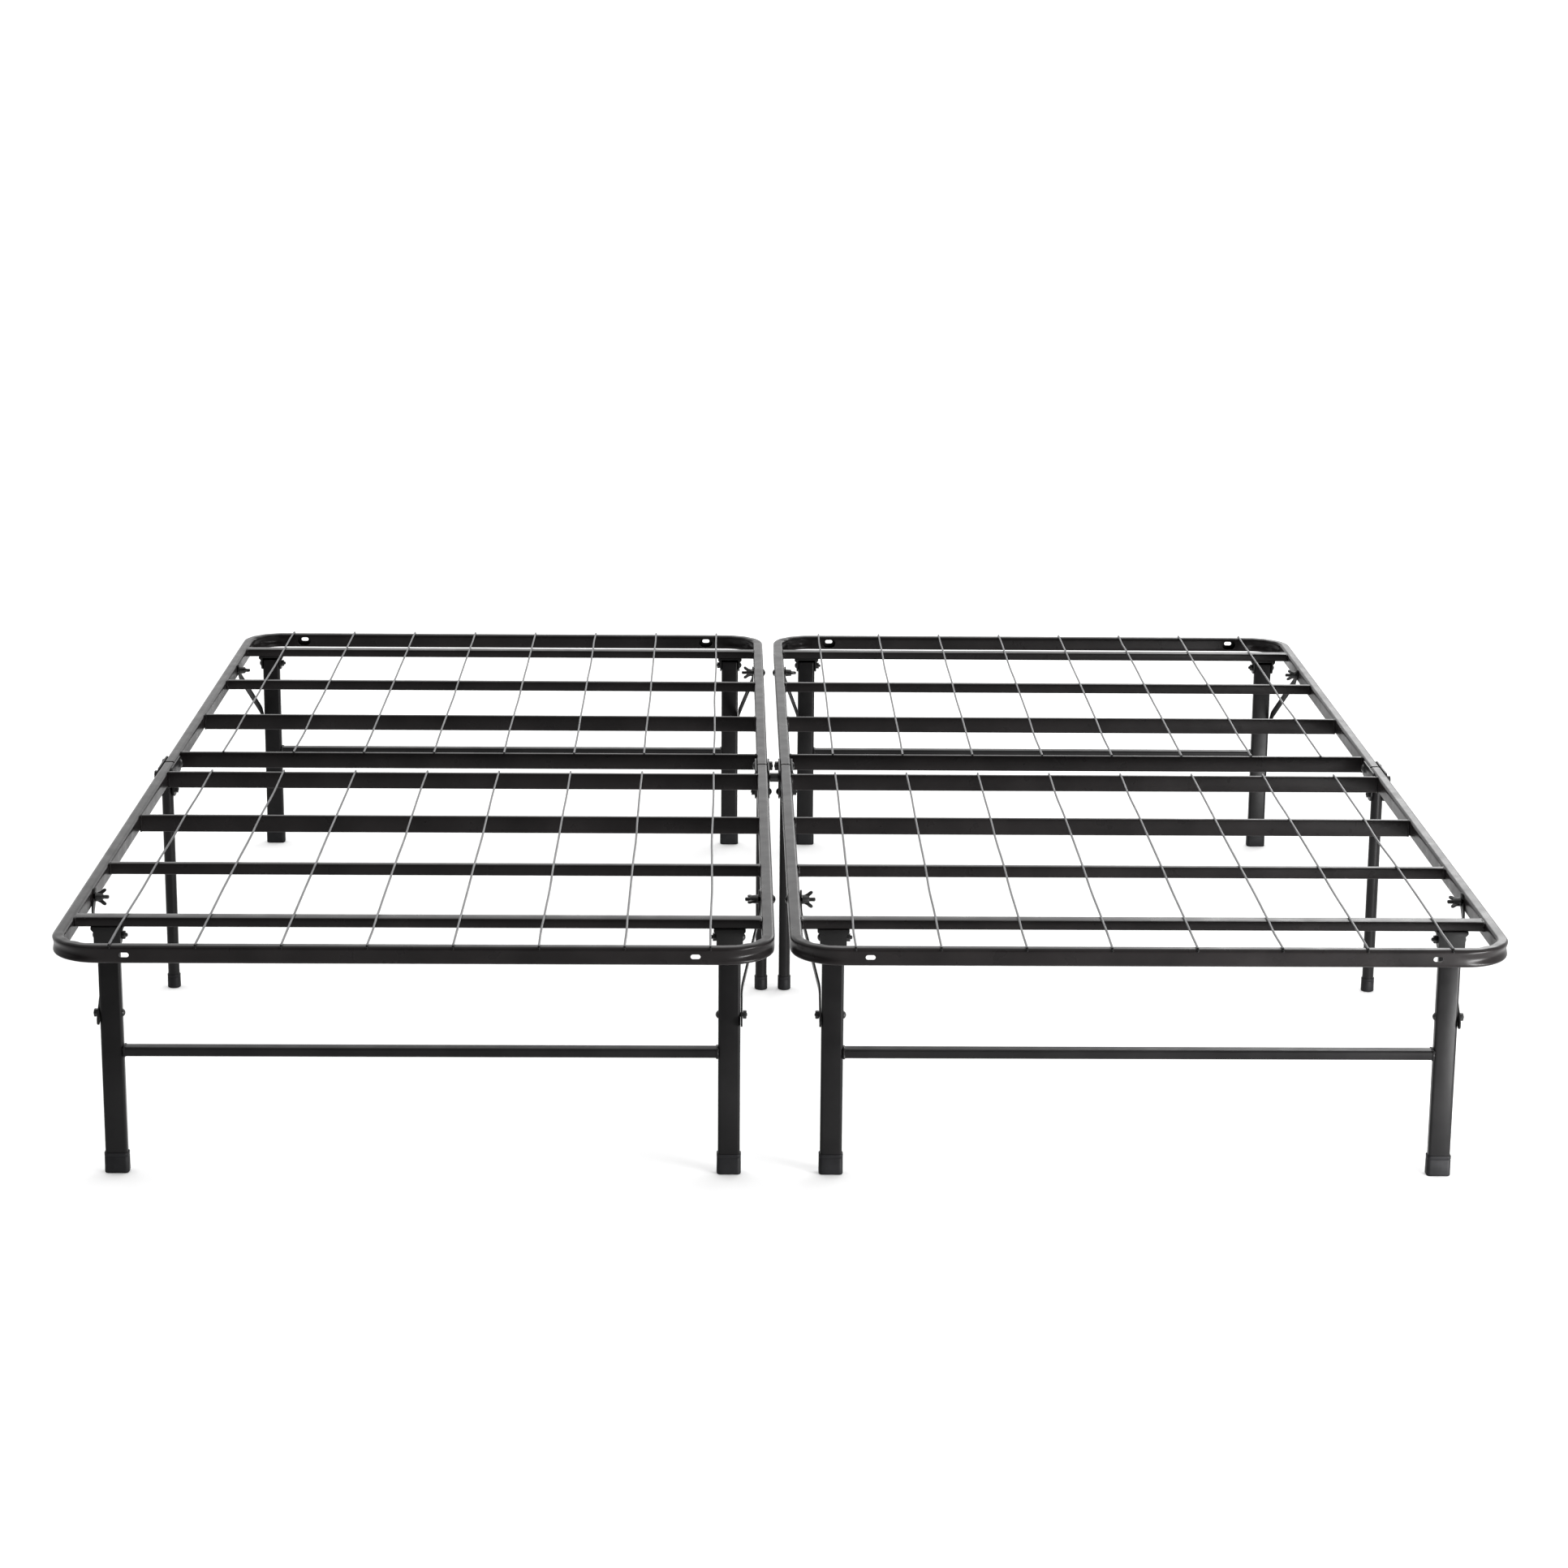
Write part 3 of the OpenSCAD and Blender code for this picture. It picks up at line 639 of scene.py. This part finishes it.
def hex_nut(af, h, hole):
    """Hexagonal nut from z = 0, with chamfered corners and bore."""
    angle = np.linspace(0, 2 * math.pi, 48, endpoint=False)
    flat = af / 2 / np.cos((angle + math.pi / 6) % (math.pi / 3) - math.pi / 6)
    bevel = 0.09 * af
    levels = ((0, 0), (bevel / 2, bevel), (h - bevel / 2, bevel), (h, 0))
    ray = np.c_[np.cos(angle), np.sin(angle)]
    outer = [
        lifted(ray * np.minimum(flat, af / 2 * 0.985 + grown)[:, None], z) for z, grown in levels
    ]
    holes = ((0, 0.5), (0.5, 0), (h - 0.5, 0), (h, 0.5))
    inner = [lifted(ray * (hole / 2 + grown), z) for z, grown in holes]
    return pipe(outer, inner)


def bolt(size, grip, past, nut=True):
    """Bolt along +X from x = 0: head below 0, thread past the grip, and its nut."""
    d = size["d"]
    parts = [
        round_head(size["head"], size["head_t"]),
        loft([lifted(circle(d), z) for z in (-0.5, grip)]),
        threaded_rod(d - 0.05, past).moved(z=grip),
    ]
    if nut:
        parts.append(hex_nut(size["nut_af"], size["nut_h"], d).moved(z=grip + 0.02))
    return together(parts).along_x()


def leg_bolts():
    grip = 2 * (EAR_X + SHEET_T)
    one = bolt(SMALL_BOLT, grip, SMALL_BOLT["nut_h"] + LEG_TIP)
    return both_sides(one.scaled(x=-1).moved(leg_x + grip / 2, -leg_y, leg_pivot_z))


def brace_bolts():
    """Heads on the inner faces of the posts, nuts outside on the braces."""
    grip = LEG_W + SHEET_T + 2 * GAP
    one = bolt(SMALL_BOLT, grip, SMALL_BOLT["nut_h"] + BRACE_TIP)
    return both_sides(one.moved(leg_x - LEG_W / 2, -leg_y, brace_z))


def carriage_bolts():
    size = dict(d=SMALL_BOLT["d"], head=CARRIAGE_HEAD, head_t=CARRIAGE_HEAD_T)
    one = bolt(size, rail_w, CARRIAGE_TIP, nut=False)
    return both_sides(one.scaled(x=-1).moved(half_w / 2, -brace_y, rail_mid_z))


def wing_nut(side, turn):
    """Wing nut on the carriage bolt of one side rail, its wings turned from upright."""
    outside = ((12.4, 0), (13, 0.5), (12.6, 2), (11.2, 8.6), (10.3, 9.7), (9.4, 10))
    bored = ((7, 0), (6.1, 0.6), (6.1, 4), (6.1, 9.4), (6.8, 9.9), (7, 10))
    hub = pipe(*([lifted(circle(d, 28), z) for d, z in face] for face in (outside, bored)))
    edge = smooth_closed(WING_EDGE)
    middle = edge.mean(0)
    layers = ((0.88, -1.6), (0.97, -1.25), (1, -0.6), (1, 0.6), (0.97, 1.25), (0.88, 1.6))
    wing = loft([lifted(middle + (edge - middle) * s, t) for s, t in layers]).turned("X", 90)
    nut = together([hub, wing, wing.scaled(x=-1)]).turned("Z", turn).turned("Y", -90)
    return nut.moved(brace_x1 - GAP, -brace_y, rail_mid_z).scaled(x=side)


# ---------------------------------------------------------------- legs

def post():
    """Leg post: its top is cut square, and the cut edge is broken."""
    levels = ((CAP_FLOOR, 0), (leg_top - 0.6, 0), (leg_top, 0.35))
    outer = [lifted(round_rect(LEG_W - 2 * s, LEG_D - 2 * s, LEG_EDGE_R), z) for z, s in levels]
    inner = [
        lifted(round_rect(LEG_W - 2 * WALL, LEG_D - 2 * WALL, LEG_EDGE_R - WALL), z)
        for z, _ in levels
    ]
    return pipe(outer, inner)


def leg_frame():
    bolt_holes = [bore(SMALL_BOLT["d"], -LEG_W, LEG_W, 0, z) for z in (brace_z, leg_pivot_z)]
    leg = minus(post(), bolt_holes)
    reach = leg_x - LEG_W / 2
    outline = round_rect(crossbar_d, CROSSBAR_H, 3, arc=5, flat=2)
    bar = loft([np.c_[np.full(len(outline), x), outline] for x in np.linspace(-reach, reach, 9)])
    beads = [
        end_weld(crossbar_d - 2, CROSSBAR_H - 0.6, side * (reach - 1), 2.0, 40 + side)
        for side in (LEFT, RIGHT)
    ]
    bar = together([bar] + beads).moved(z=CROSSBAR_Z)
    return together([both_sides(leg.moved(x=leg_x)), bar]).moved(y=-leg_y)


def foot_cap():
    """Pushed-on cap: rounded sole, straight wall and a thicker collar at the mouth."""
    w, d, h = LEG_W + 2 * cap_wall, LEG_D + 2 * cap_wall, cap_high[2]
    r = LEG_EDGE_R + cap_wall
    levels = (
        (0, 1.5), (0.35, 0.7), (1.2, 0.15), (2.4, 0), (h - 6, 0.12), (h - 5.4, 0.5),
        (h - 4.8, 0.12), (h - 0.7, 0), (h - 0.2, 0.2), (h, 0.55),
    )
    outer = [lifted(round_rect(w - 2 * s, d - 2 * s, r - s, arc=6), z) for z, s in levels]
    mouth = round_rect(LEG_W, LEG_D, LEG_EDGE_R, arc=6)
    floor_ring = round_rect(LEG_W - 1, LEG_D - 1, LEG_EDGE_R - 0.5, arc=6)
    inner = [lifted(mouth, z) for z in np.linspace(CAP_FLOOR, h, len(levels) - 1)]
    return loft([*outer, *inner[::-1], lifted(floor_ring, CAP_FLOOR)])


def caps():
    return both_sides(foot_cap().moved(leg_x, -leg_y, 0))


def brace():
    """Cranked flat strip with round ends, a bolt hole below and an open notch above."""
    low, high, r = -BRACE_TAIL, brace_l + BRACE_HEAD, BRACE_W / 2
    turn = np.linspace(0.12, math.pi / 2, 9)
    rounded = r * (1 - np.cos(turn))
    along = np.r_[low + rounded, np.linspace(low + r, high - r, 44)[1:-1], high - rounded[::-1]]
    inside = np.clip(np.minimum(along - low, high - along), 0, r)
    half = np.sqrt(r * r - (r - inside) ** 2)
    x1 = brace_x1 - brace_x0
    knees = ([low, BRACE_FLAT, brace_l - BRACE_FLAT_TOP, high], [0, 0, x1, x1])
    crank = sum(np.interp(along + step, *knees) for step in (-6, -3, 0, 3, 6)) / 5
    rings = []
    for z, w, x in zip(along, half, crank):
        edge = min(0.7, w * 0.6)
        outline = round_rect(SHEET_T, 2 * w, edge, arc=3)
        placed = outline + (x + SHEET_T / 2, 0)
        rings.append(lifted(placed, z))
    share = (180 - brace_lean) / 90
    slip_y = -(leg_pivot_z - brace_z) - (share - 1) * brace_rise
    slip_z = (share - 1) * brace_run
    notch_turn = 180 + brace_lean - math.degrees(math.atan2(slip_z, -slip_y))
    near, far, half_notch = x1 - 2, x1 + 2 * SHEET_T, NOTCH_W / 2
    across = ((near, -half_notch), (near, half_notch), (far, half_notch), (far, -half_notch))
    mouth = loft([[(x, y, z) for x, z in across] for y in (0, 2 * BRACE_W)])
    mouth = mouth.turned("X", notch_turn).moved(z=brace_l)
    eye = bore(NOTCH_W + 0.02, near, far, 0, brace_l)
    bolt_hole = bore(SMALL_BOLT["d"] + 0.1, -2, 2 * SHEET_T, 0, 0)
    strip = minus(minus(loft(rings), [bolt_hole, eye]), [mouth])
    return strip.turned("X", -brace_lean).moved(brace_x0, -leg_y, brace_z)


# ---------------------------------------------------------------- fold

def head_fold_bolts():
    x0, grip = rail_in - GAP - SHEET_T, rail_w + 2 * (GAP + SHEET_T)
    one = bolt(FOLD_BOLT, grip, FOLD_BOLT["nut_h"] + FOLD_TIP)
    return both_sides(one.moved(x0, fold_y, rail_mid_z))


def foot_fold_bolts(side):
    """Nut outside on the outer rail, and a long end for the coupling sleeve on the inner rail."""
    x0, grip = rail_in - 2 * GAP - SHEET_T, rail_w + 4 * GAP + 2 * SHEET_T
    outer = bolt(FOLD_BOLT, grip, FOLD_BOLT["nut_h"] + FOLD_TIP).moved(x=x0)
    inner = bolt(FOLD_BOLT, grip, half_x - x0 - grip - GAP, nut=False).moved(x=x0)
    pair = together([outer, inner.scaled(x=-1)]).scaled(x=side)
    return pair.moved(side * half_x, -fold_y, rail_mid_z)


def coupling_sleeve():
    nut = hex_nut(FOLD_BOLT["nut_af"], sleeve_high[0] - sleeve_low[0], FOLD_BOLT["d"] + 0.1)
    return nut.along_x().moved(sleeve_low[0], -fold_y, rail_mid_z)


def mid_leg():
    """Round leg from its cap to just above its pivot, upright at the origin."""
    d = mid_leg_high[0] - mid_leg_low[0]
    low, high = mid_leg_low[2], mid_leg_high[2]
    levels = ((low, 0), (high - 0.6, 0), (high, 0.4))
    outer = [lifted(circle(d - 2 * s, 36), z) for z, s in levels]
    inner = [lifted(circle(d - 2 * WALL, 36), z) for z, _ in levels]
    return minus(pipe(outer, inner), [bore(SMALL_BOLT["d"] + 0.1, -d, d, 0, mid_pivot_z)])


def mid_cap():
    """Round pushed-on cap with a collar at its mouth."""
    outer_d = mid_cap_high[0] - mid_cap_low[0]
    inner_d = mid_leg_high[0] - mid_leg_low[0]
    h, floor = mid_cap_high[2], mid_leg_low[2]
    levels = (
        (0, 1.4), (0.35, 0.65), (1.1, 0.15), (2.2, 0.05), (h - 5, 0.1), (h - 4.5, 0.4),
        (h - 4, 0.1), (h - 0.6, 0), (h - 0.15, 0.2), (h, 0.5),
    )
    outer = [lifted(circle(outer_d - 2 * s, 36), z) for z, s in levels]
    inner = [lifted(circle(inner_d, 36), z) for z in np.linspace(floor, h, 4)]
    return loft([*outer, *inner[::-1], lifted(circle(inner_d - 1, 36), floor)])


# ---------------------------------------------------------------- pieces on their bodies

def body_holding(node):
    bodies = frame["record"]["behaviour"]["bodies"]
    return next(body for body, members in bodies.items() if node in members)


def hang(node, shape, slot, *coats, smooth=32):
    """Makes a shape into the piece that stands for a CAD node, and hangs it on that node's body."""
    made = bpy.data.objects.new(node + "_look", mesh_of(shape, node + "_look"))
    bpy.context.scene.collection.objects.link(made)
    for coat in coats:
        made.data.materials.append(coat)
    made.data.shade_smooth()
    made.data.set_sharp_from_angle(angle=math.radians(smooth))
    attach(made, body_holding(node))
    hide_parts(node)


section_shapes = {
    "rail": (rail(), "frame_tube", frame_coat),
    "slats": (slats(), "frame_tube", frame_coat),
    # The second coat of the wires darkens their ends; this is partly painted shade at the rail and slat edges.
    "wires": (wires(), "mesh_wire", zinc, sheet_coat),
    "leg_frame": (leg_frame(), "leg_tube", leg_coat),
    "caps": (caps(), "foot_cap", plastic),
    "brace_bolts": (brace_bolts(), "fastener", oxide),
    "braces": (both_sides(brace()), "sheet_steel", sheet_coat),
}
for end_name, end in ENDS.items():
    for side_name, side in SIDES.items():
        for kind, (shape, *finish) in section_shapes.items():
            hang(f"{end_name}_{side_name}_{kind}", shape.in_section(end, side), *finish)

# The foot frame holds its two sections' bolts together, and each head section its own.
for kind, shape in (("leg_bolts", leg_bolts()), ("carriage_bolts", carriage_bolts())):
    pair = together([shape.in_section(FOOT, side) for side in (LEFT, RIGHT)])
    hang(f"foot_{kind}", pair, "fastener", oxide)
    for side_name, side in SIDES.items():
        hang(f"head_{side_name}_{kind}", shape.in_section(HEAD, side), "fastener", oxide)

# Turns of the wing nuts from upright: (outer side rail, inner side rail).
wing_turns = {
    ("foot", "left"): (8, 80), ("foot", "right"): (65, 20),
    ("head", "left"): (70, 15), ("head", "right"): (30, 85),
}
for (end_name, side_name), turns in wing_turns.items():
    end, side = ENDS[end_name], SIDES[side_name]
    for place, rail_side, turn in (("outer", side, turns[0]), ("inner", -side, turns[1])):
        nut = wing_nut(rail_side, turn).in_section(end, side)
        hang(f"{end_name}_{side_name}_wing_nut_{place}", nut, "wing_nut", oxide)

for node in ("foot_leg_brackets", "head_left_leg_brackets", "head_right_leg_brackets"):
    hang(node, softened(node, 0.5), "sheet_steel", sheet_coat)
for side_name, side in SIDES.items():
    plates = f"{side_name}_fold_plates"
    hang(plates, softened(plates, 0.5), "sheet_steel", sheet_coat)
    bolts = head_fold_bolts().moved(x=side * half_x)
    hang(f"{side_name}_fold_bolts", bolts, "fastener", oxide)
both_bolts = together([foot_fold_bolts(side) for side in (LEFT, RIGHT)])
hang("foot_fold_bolts", both_bolts, "fastener", oxide)
hang("coupling_sleeve", coupling_sleeve(), "fastener", oxide)
hang("mid_leg_hinges", softened("mid_leg_hinges", 0.4), "sheet_steel", sheet_coat)
for side_name in SIDES:
    for place in ("outer", "inner"):
        x, y, _ = pivot(f"{side_name}_mid_{place}_fold")
        hang(f"{side_name}_mid_leg_{place}", mid_leg().moved(x, y), "leg_tube", leg_coat)
        hang(f"{side_name}_mid_cap_{place}", mid_cap().moved(x, y), "foot_cap", plastic)


# ---------------------------------------------------------------- floor, light and camera

def floor():
    """Wide pale floor."""
    mesh = bpy.data.meshes.new("floor")
    far = 60.0
    edge = [(-far, -far, 0), (far, -far, 0), (far, far, 0), (-far, far, 0)]
    mesh.from_pydata(edge, [], [(0, 1, 2, 3)])
    made = bpy.data.objects.new("floor", mesh)
    bpy.context.scene.collection.objects.link(made)
    material, nodes, links, shader = new_material("floor_paper")
    tone = ramp(nodes, links, noise(nodes, links, 2), ((0.2, 0.9), (0.8, 0.94)))
    links.new(tone, shader.inputs["Base Color"])
    shader.inputs["Roughness"].default_value = 0.9
    shader.inputs["Specular IOR Level"].default_value = 0.1
    mesh.materials.append(material)


def soft_light(name, place, target, size, power):
    """Area light at a place, facing a target, in metres and watts."""
    light = bpy.data.lights.new(name, "AREA")
    light.shape, light.size, light.size_y, light.energy = "RECTANGLE", *size, power
    made = bpy.data.objects.new(name, light)
    bpy.context.scene.collection.objects.link(made)
    aim = np.array(target, float) - np.array(place, float)
    made.location = place
    made.rotation_mode = "QUATERNION"
    made.rotation_quaternion = Vector(aim).to_track_quat("-Z", "Y")


def studio():
    """White room: bright beyond the head end and above, dim on the side of the camera."""
    world = bpy.data.worlds.new("studio")
    bpy.context.scene.world = world
    world.use_nodes = True
    nodes, links = world.node_tree.nodes, world.node_tree.links
    background = nodes["Background"]
    direction = nodes.new("ShaderNodeTexCoord")
    parts = nodes.new("ShaderNodeSeparateXYZ")
    links.new(direction.outputs["Generated"], parts.inputs["Vector"])
    height = nodes.new("ShaderNodeMath")
    height.operation = "MULTIPLY_ADD"
    height.inputs[1].default_value = 1.2
    links.new(parts.outputs["Z"], height.inputs[0])
    links.new(parts.outputs["Y"], height.inputs[2])
    shade = nodes.new("ShaderNodeMapRange")
    shade.interpolation_type = "SMOOTHSTEP"
    for socket, value in (("From Min", -0.3), ("From Max", 1.1), ("To Min", 0.04), ("To Max", 1.6)):
        shade.inputs[socket].default_value = value
    links.new(height.outputs["Value"], shade.inputs["Value"])
    path = nodes.new("ShaderNodeLightPath")
    seen = nodes.new("ShaderNodeMix")
    seen.inputs["B"].default_value = 1.1
    links.new(path.outputs["Is Camera Ray"], seen.inputs["Factor"])
    links.new(shade.outputs["Result"], seen.inputs["A"])
    links.new(seen.outputs["Result"], background.inputs["Strength"])
    background.inputs["Color"].default_value = (1, 1, 1, 1)
    soft_light("overhead", (0.3, 1.2, 5.5), (0, 0.2, 0), (7, 6), 60)
    soft_light("right_low", (1.9, -2.1, 0.22), (0.7, -0.8, 0.25), (1.0, 0.35), 100)
    soft_light("right_back", (2.6, 5.2, 2.5), (0.8, 0, 0.36), (2.6, 1.9), 70)


def camera():
    """Long lens on the foot end, a little left of the middle and looking slightly down."""
    lens = bpy.data.cameras.new("camera")
    lens.sensor_width, lens.lens = 36, 81.17
    made = bpy.data.objects.new("camera", lens)
    bpy.context.scene.collection.objects.link(made)
    yaw, pitch, roll = -0.01679, 0.2452, 0.00833
    made.matrix_world = (
        Matrix.Translation((-0.0748, -5.419, 1.686))
        @ Matrix.Rotation(yaw, 4, "Z")
        @ Matrix.Rotation(math.pi / 2 - pitch, 4, "X")
        @ Matrix.Rotation(roll, 4, "Z")
    )
    bpy.context.scene.camera = made


floor()
studio()
camera()
bpy.context.scene.view_settings.view_transform = "Standard"
